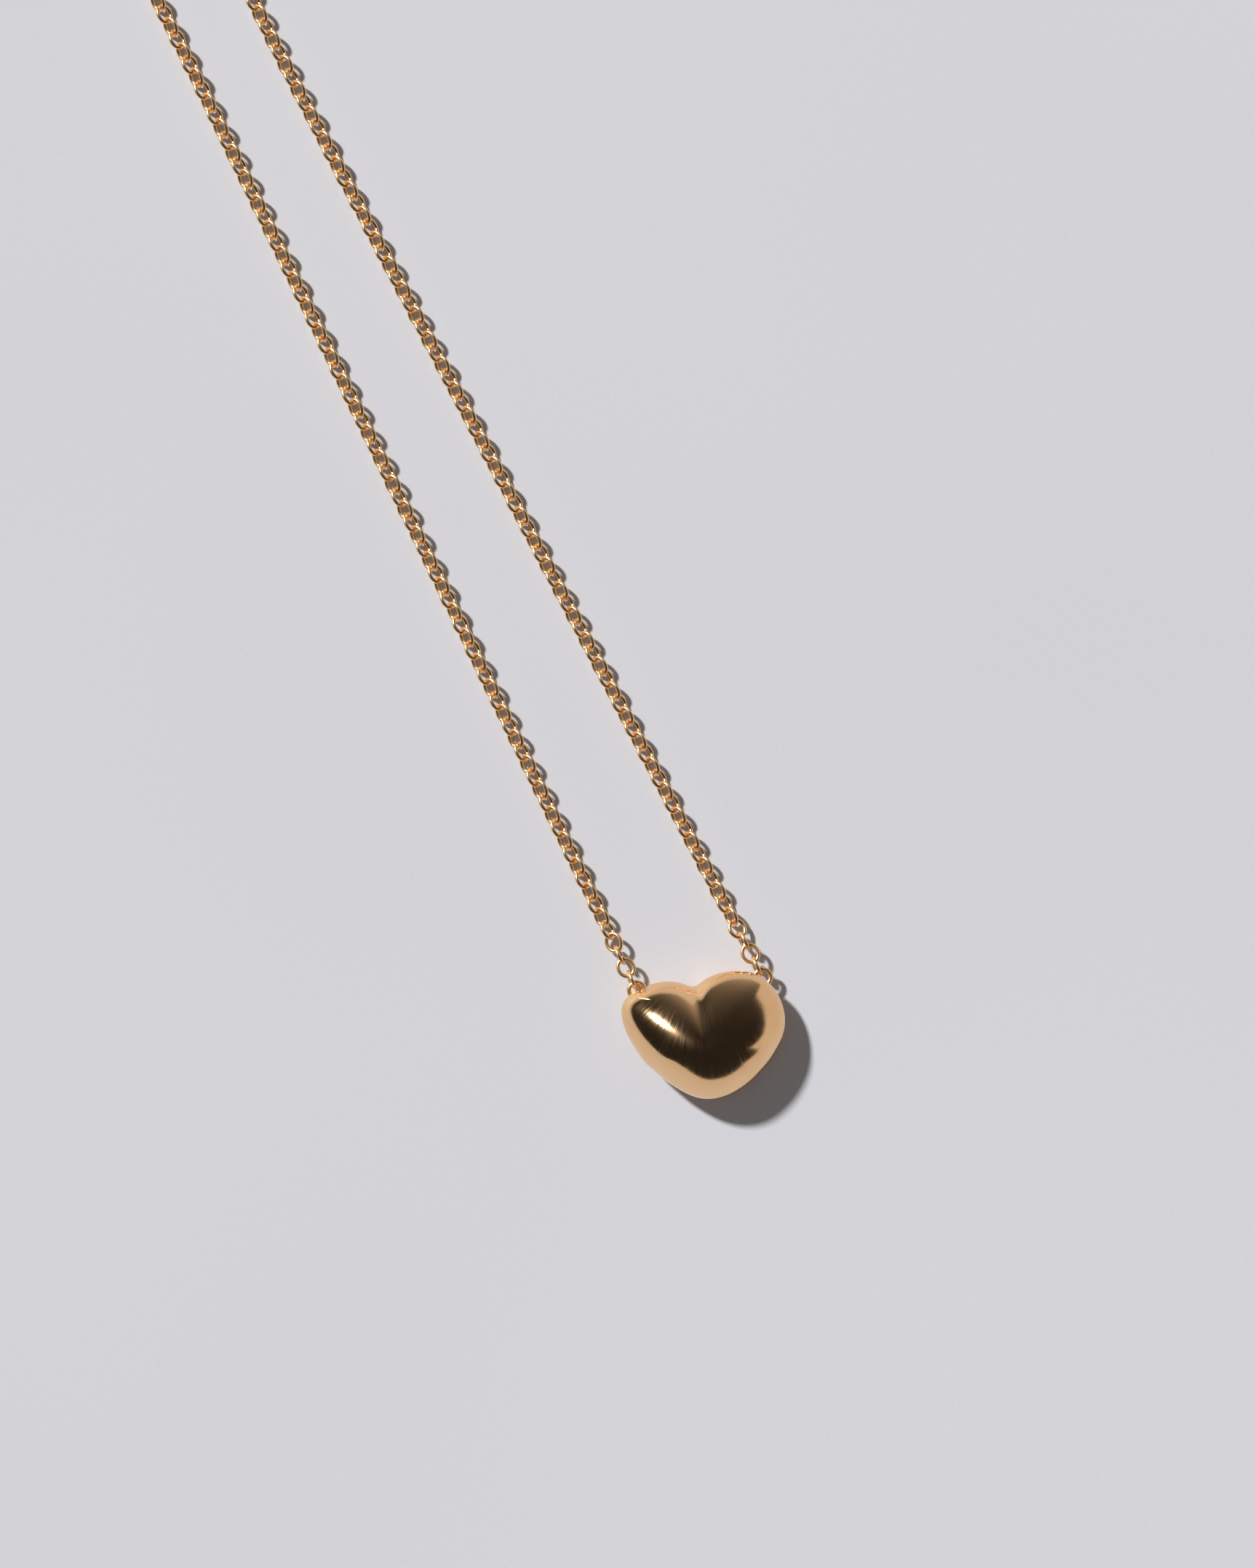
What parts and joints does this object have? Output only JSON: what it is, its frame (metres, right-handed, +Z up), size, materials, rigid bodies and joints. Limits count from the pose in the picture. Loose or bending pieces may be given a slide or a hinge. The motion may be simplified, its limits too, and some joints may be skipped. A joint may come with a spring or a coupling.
{
  "type": "pendant necklace",
  "caption": "Puffed, slightly uneven heart pendant hung from two soldered loops on a fine cable chain, laid out open with its lobster clasp and end ring.",
  "frame": {"origin": "middle of the small flat on the heart's back, on the table", "axes": "+Y along the two strands away from the heart, +Z up from the table, +X to the right seen from above"},
  "size_m": [0.0208, 0.219, 0.0075],
  "materials": {
    "heart_gold": "polished gold plate over brass, with fine buffing lines",
    "chain_gold": "bright polished gold plate on round brass wire",
    "clasp_gold": "tumble-polished gold plate over brass",
    "spring_steel": "bright tempered spring strip"
  },
  "bodies": {
    "heart": {"heart_front_shell": "heart_gold", "heart_back_shell": "heart_gold", "left_bail_loop": "chain_gold", "right_bail_loop": "chain_gold"},
    "left_strand_01": {"left_chain_01": "chain_gold"},
    "left_strand_02": {"left_chain_02": "chain_gold"},
    "left_strand_03": {"left_chain_03": "chain_gold"},
    "left_strand_04": {"left_chain_04": "chain_gold"},
    "left_strand_05": {"left_chain_05": "chain_gold"},
    "left_strand_06": {"left_chain_06": "chain_gold"},
    "left_strand_07": {"left_chain_07": "chain_gold"},
    "left_strand_08": {"left_chain_08": "chain_gold"},
    "left_strand_09": {"left_chain_09": "chain_gold"},
    "left_strand_10": {"left_chain_10": "chain_gold"},
    "left_strand_11": {"left_chain_11": "chain_gold"},
    "left_strand_12": {"left_chain_12": "chain_gold"},
    "left_strand_13": {"left_chain_13": "chain_gold"},
    "left_strand_14": {"left_chain_14": "chain_gold"},
    "left_strand_15": {"left_chain_15": "chain_gold"},
    "left_strand_16": {"left_chain_16": "chain_gold"},
    "left_strand_17": {"left_chain_17": "chain_gold"},
    "left_strand_18": {"left_chain_18": "chain_gold"},
    "left_strand_19": {"left_chain_19": "chain_gold"},
    "left_strand_20": {"left_chain_20": "chain_gold"},
    "right_strand_01": {"right_chain_01": "chain_gold"},
    "right_strand_02": {"right_chain_02": "chain_gold"},
    "right_strand_03": {"right_chain_03": "chain_gold"},
    "right_strand_04": {"right_chain_04": "chain_gold"},
    "right_strand_05": {"right_chain_05": "chain_gold"},
    "right_strand_06": {"right_chain_06": "chain_gold"},
    "right_strand_07": {"right_chain_07": "chain_gold"},
    "right_strand_08": {"right_chain_08": "chain_gold"},
    "right_strand_09": {"right_chain_09": "chain_gold"},
    "right_strand_10": {"right_chain_10": "chain_gold"},
    "right_strand_11": {"right_chain_11": "chain_gold"},
    "right_strand_12": {"right_chain_12": "chain_gold"},
    "right_strand_13": {"right_chain_13": "chain_gold"},
    "right_strand_14": {"right_chain_14": "chain_gold"},
    "right_strand_15": {"right_chain_15": "chain_gold"},
    "right_strand_16": {"right_chain_16": "chain_gold"},
    "right_strand_17": {"right_chain_17": "chain_gold"},
    "right_strand_18": {"right_chain_18": "chain_gold"},
    "right_strand_19": {"right_chain_19": "chain_gold"},
    "right_strand_20": {"right_chain_20": "chain_gold"},
    "clasp_ring": {"clasp_jump_ring": "clasp_gold"},
    "clasp": {"clasp_body": "clasp_gold", "clasp_pivot_pin": "clasp_gold", "clasp_spring": "spring_steel"},
    "trigger": {"clasp_trigger": "clasp_gold"},
    "end_ring": {"end_ring": "clasp_gold"}
  },
  "joints": [
    {"name": "left_bail_swing", "type": "hinge", "parent": "heart", "child": "left_strand_01", "pos_m": [-0.00392, 0.00762, 0.0016], "axis": [0.9999, -0.0166, 0], "range_deg": [0, 25]},
    {"name": "right_bail_swing", "type": "hinge", "parent": "heart", "child": "right_strand_01", "pos_m": [0.00761, 0.0034, 0.0016], "axis": [0.9999, 0.0166, 0], "range_deg": [0, 25]},
    {"name": "clasp_ring_swing", "type": "hinge", "parent": "left_strand_20", "child": "clasp_ring", "pos_m": [-0.00587, 0.202, 0.00145], "axis": [0.999, 0.0436, 0], "range_deg": [0, 60]},
    {"name": "clasp_swing", "type": "hinge", "parent": "clasp_ring", "child": "clasp", "pos_m": [-0.00593, 0.2035, 0.00093], "axis": [-0.0143, 0.3267, 0.945], "range_deg": [-25, 25]},
    {"name": "clasp_trigger_press", "type": "hinge", "parent": "clasp", "child": "trigger", "pos_m": [-0.00707, 0.20662, 0.00093], "axis": [0, 0, -1], "range_deg": [0, 20], "stiffness_Nm_per_rad": 0.004, "springref_deg": -14.32, "deforming": ["clasp_spring"]},
    {"name": "end_ring_swing", "type": "hinge", "parent": "right_strand_20", "child": "end_ring", "pos_m": [0.00955, 0.19781, 0.00101], "axis": [-0.0005, -0.0105, 0.9999], "range_deg": [-20, 20]},
    {"name": "left_chain_bend_02", "type": "hinge", "parent": "left_strand_01", "child": "left_strand_02", "pos_m": [-0.00374, 0.01858, 0.00078], "axis": [0.6599, -0.0109, 0.7513], "range_deg": [0, 18]},
    {"name": "left_chain_bend_03", "type": "hinge", "parent": "left_strand_02", "child": "left_strand_03", "pos_m": [-0.00358, 0.02824, 0.00078], "axis": [0.6717, -0.0111, -0.7408], "range_deg": [0, 18]},
    {"name": "left_chain_bend_04", "type": "hinge", "parent": "left_strand_03", "child": "left_strand_04", "pos_m": [-0.00342, 0.0379, 0.00078], "axis": [0.7264, -0.012, 0.6872], "range_deg": [0, 18]},
    {"name": "left_chain_bend_05", "type": "hinge", "parent": "left_strand_04", "child": "left_strand_05", "pos_m": [-0.00326, 0.04755, 0.00078], "axis": [0.7546, -0.0125, -0.6561], "range_deg": [0, 18]},
    {"name": "left_chain_bend_06", "type": "hinge", "parent": "left_strand_05", "child": "left_strand_06", "pos_m": [-0.0031, 0.05721, 0.00078], "axis": [0.7244, -0.012, 0.6893], "range_deg": [0, 18]},
    {"name": "left_chain_bend_07", "type": "hinge", "parent": "left_strand_06", "child": "left_strand_07", "pos_m": [-0.00294, 0.06687, 0.00078], "axis": [0.6701, -0.0111, -0.7422], "range_deg": [0, 18]},
    {"name": "left_chain_bend_08", "type": "hinge", "parent": "left_strand_07", "child": "left_strand_08", "pos_m": [-0.00278, 0.07653, 0.00078], "axis": [0.6608, -0.011, 0.7505], "range_deg": [0, 18]},
    {"name": "left_chain_bend_09", "type": "hinge", "parent": "left_strand_08", "child": "left_strand_09", "pos_m": [-0.00262, 0.08619, 0.00078], "axis": [0.7092, -0.0118, -0.7049], "range_deg": [0, 18]},
    {"name": "left_chain_bend_10", "type": "hinge", "parent": "left_strand_09", "child": "left_strand_10", "pos_m": [-0.00246, 0.09585, 0.00078], "axis": [0.7519, -0.0125, 0.6591], "range_deg": [0, 18]},
    {"name": "left_chain_bend_11", "type": "hinge", "parent": "left_strand_10", "child": "left_strand_11", "pos_m": [-0.00233, 0.10551, 0.00078], "axis": [0.7392, -0.007, -0.6734], "range_deg": [0, 18]},
    {"name": "left_chain_bend_12", "type": "hinge", "parent": "left_strand_11", "child": "left_strand_12", "pos_m": [-0.00234, 0.11517, 0.00078], "axis": [0.6851, 0.0066, 0.7284], "range_deg": [0, 18]},
    {"name": "left_chain_bend_13", "type": "hinge", "parent": "left_strand_12", "child": "left_strand_13", "pos_m": [-0.00255, 0.12482, 0.00078], "axis": [0.6559, 0.02, -0.7546], "range_deg": [0, 18]},
    {"name": "left_chain_bend_14", "type": "hinge", "parent": "left_strand_13", "child": "left_strand_14", "pos_m": [-0.00292, 0.13448, 0.00078], "axis": [0.6908, 0.0297, 0.7225], "range_deg": [0, 18]},
    {"name": "left_chain_bend_15", "type": "hinge", "parent": "left_strand_14", "child": "left_strand_15", "pos_m": [-0.00334, 0.14413, 0.00078], "axis": [0.7429, 0.0324, -0.6686], "range_deg": [0, 18]},
    {"name": "left_chain_bend_16", "type": "hinge", "parent": "left_strand_15", "child": "left_strand_16", "pos_m": [-0.00376, 0.15378, 0.00078], "axis": [0.7489, 0.0327, 0.6619], "range_deg": [0, 18]},
    {"name": "left_chain_bend_17", "type": "hinge", "parent": "left_strand_16", "child": "left_strand_17", "pos_m": [-0.00418, 0.16343, 0.00078], "axis": [0.702, 0.0307, -0.7115], "range_deg": [0, 18]},
    {"name": "left_chain_bend_18", "type": "hinge", "parent": "left_strand_17", "child": "left_strand_18", "pos_m": [-0.00461, 0.17308, 0.00078], "axis": [0.6578, 0.0287, 0.7527], "range_deg": [0, 18]},
    {"name": "left_chain_bend_19", "type": "hinge", "parent": "left_strand_18", "child": "left_strand_19", "pos_m": [-0.00503, 0.18273, 0.00078], "axis": [0.6745, 0.0295, -0.7376], "range_deg": [0, 18]},
    {"name": "left_chain_bend_20", "type": "hinge", "parent": "left_strand_19", "child": "left_strand_20", "pos_m": [-0.00545, 0.19238, 0.00078], "axis": [0.7296, 0.0319, 0.6831], "range_deg": [0, 18]},
    {"name": "right_chain_bend_02", "type": "hinge", "parent": "right_strand_01", "child": "right_strand_02", "pos_m": [0.00742, 0.01436, 0.00078], "axis": [0.6599, 0.0109, -0.7513], "range_deg": [0, 18]},
    {"name": "right_chain_bend_03", "type": "hinge", "parent": "right_strand_02", "child": "right_strand_03", "pos_m": [0.00726, 0.02402, 0.00078], "axis": [0.6717, 0.0111, 0.7408], "range_deg": [0, 18]},
    {"name": "right_chain_bend_04", "type": "hinge", "parent": "right_strand_03", "child": "right_strand_04", "pos_m": [0.0071, 0.03368, 0.00078], "axis": [0.7264, 0.012, -0.6872], "range_deg": [0, 18]},
    {"name": "right_chain_bend_05", "type": "hinge", "parent": "right_strand_04", "child": "right_strand_05", "pos_m": [0.00694, 0.04334, 0.00078], "axis": [0.7546, 0.0125, 0.6561], "range_deg": [0, 18]},
    {"name": "right_chain_bend_06", "type": "hinge", "parent": "right_strand_05", "child": "right_strand_06", "pos_m": [0.00678, 0.05299, 0.00078], "axis": [0.7244, 0.012, -0.6893], "range_deg": [0, 18]},
    {"name": "right_chain_bend_07", "type": "hinge", "parent": "right_strand_06", "child": "right_strand_07", "pos_m": [0.00662, 0.06265, 0.00078], "axis": [0.6701, 0.0111, 0.7422], "range_deg": [0, 18]},
    {"name": "right_chain_bend_08", "type": "hinge", "parent": "right_strand_07", "child": "right_strand_08", "pos_m": [0.00646, 0.07231, 0.00078], "axis": [0.6608, 0.011, -0.7505], "range_deg": [0, 18]},
    {"name": "right_chain_bend_09", "type": "hinge", "parent": "right_strand_08", "child": "right_strand_09", "pos_m": [0.0063, 0.08197, 0.00078], "axis": [0.7092, 0.0118, 0.7049], "range_deg": [0, 18]},
    {"name": "right_chain_bend_10", "type": "hinge", "parent": "right_strand_09", "child": "right_strand_10", "pos_m": [0.00614, 0.09163, 0.00078], "axis": [0.7519, 0.0125, -0.6591], "range_deg": [0, 18]},
    {"name": "right_chain_bend_11", "type": "hinge", "parent": "right_strand_10", "child": "right_strand_11", "pos_m": [0.00601, 0.10129, 0.00078], "axis": [0.7392, 0.007, 0.6734], "range_deg": [0, 18]},
    {"name": "right_chain_bend_12", "type": "hinge", "parent": "right_strand_11", "child": "right_strand_12", "pos_m": [0.00602, 0.11095, 0.00078], "axis": [0.6851, -0.0066, -0.7284], "range_deg": [0, 18]},
    {"name": "right_chain_bend_13", "type": "hinge", "parent": "right_strand_12", "child": "right_strand_13", "pos_m": [0.00623, 0.1206, 0.00078], "axis": [0.6559, -0.02, 0.7546], "range_deg": [0, 18]},
    {"name": "right_chain_bend_14", "type": "hinge", "parent": "right_strand_13", "child": "right_strand_14", "pos_m": [0.0066, 0.13026, 0.00078], "axis": [0.6908, -0.0297, -0.7225], "range_deg": [0, 18]},
    {"name": "right_chain_bend_15", "type": "hinge", "parent": "right_strand_14", "child": "right_strand_15", "pos_m": [0.00702, 0.13991, 0.00078], "axis": [0.7429, -0.0324, 0.6686], "range_deg": [0, 18]},
    {"name": "right_chain_bend_16", "type": "hinge", "parent": "right_strand_15", "child": "right_strand_16", "pos_m": [0.00744, 0.14956, 0.00078], "axis": [0.7489, -0.0327, -0.6619], "range_deg": [0, 18]},
    {"name": "right_chain_bend_17", "type": "hinge", "parent": "right_strand_16", "child": "right_strand_17", "pos_m": [0.00787, 0.15921, 0.00078], "axis": [0.702, -0.0307, 0.7115], "range_deg": [0, 18]},
    {"name": "right_chain_bend_18", "type": "hinge", "parent": "right_strand_17", "child": "right_strand_18", "pos_m": [0.00829, 0.16886, 0.00078], "axis": [0.6578, -0.0287, -0.7527], "range_deg": [0, 18]},
    {"name": "right_chain_bend_19", "type": "hinge", "parent": "right_strand_18", "child": "right_strand_19", "pos_m": [0.00871, 0.17851, 0.00078], "axis": [0.6745, -0.0295, 0.7376], "range_deg": [0, 18]},
    {"name": "right_chain_bend_20", "type": "hinge", "parent": "right_strand_19", "child": "right_strand_20", "pos_m": [0.00913, 0.18816, 0.00078], "axis": [0.7296, -0.0319, -0.6831], "range_deg": [0, 18]}
  ]
}
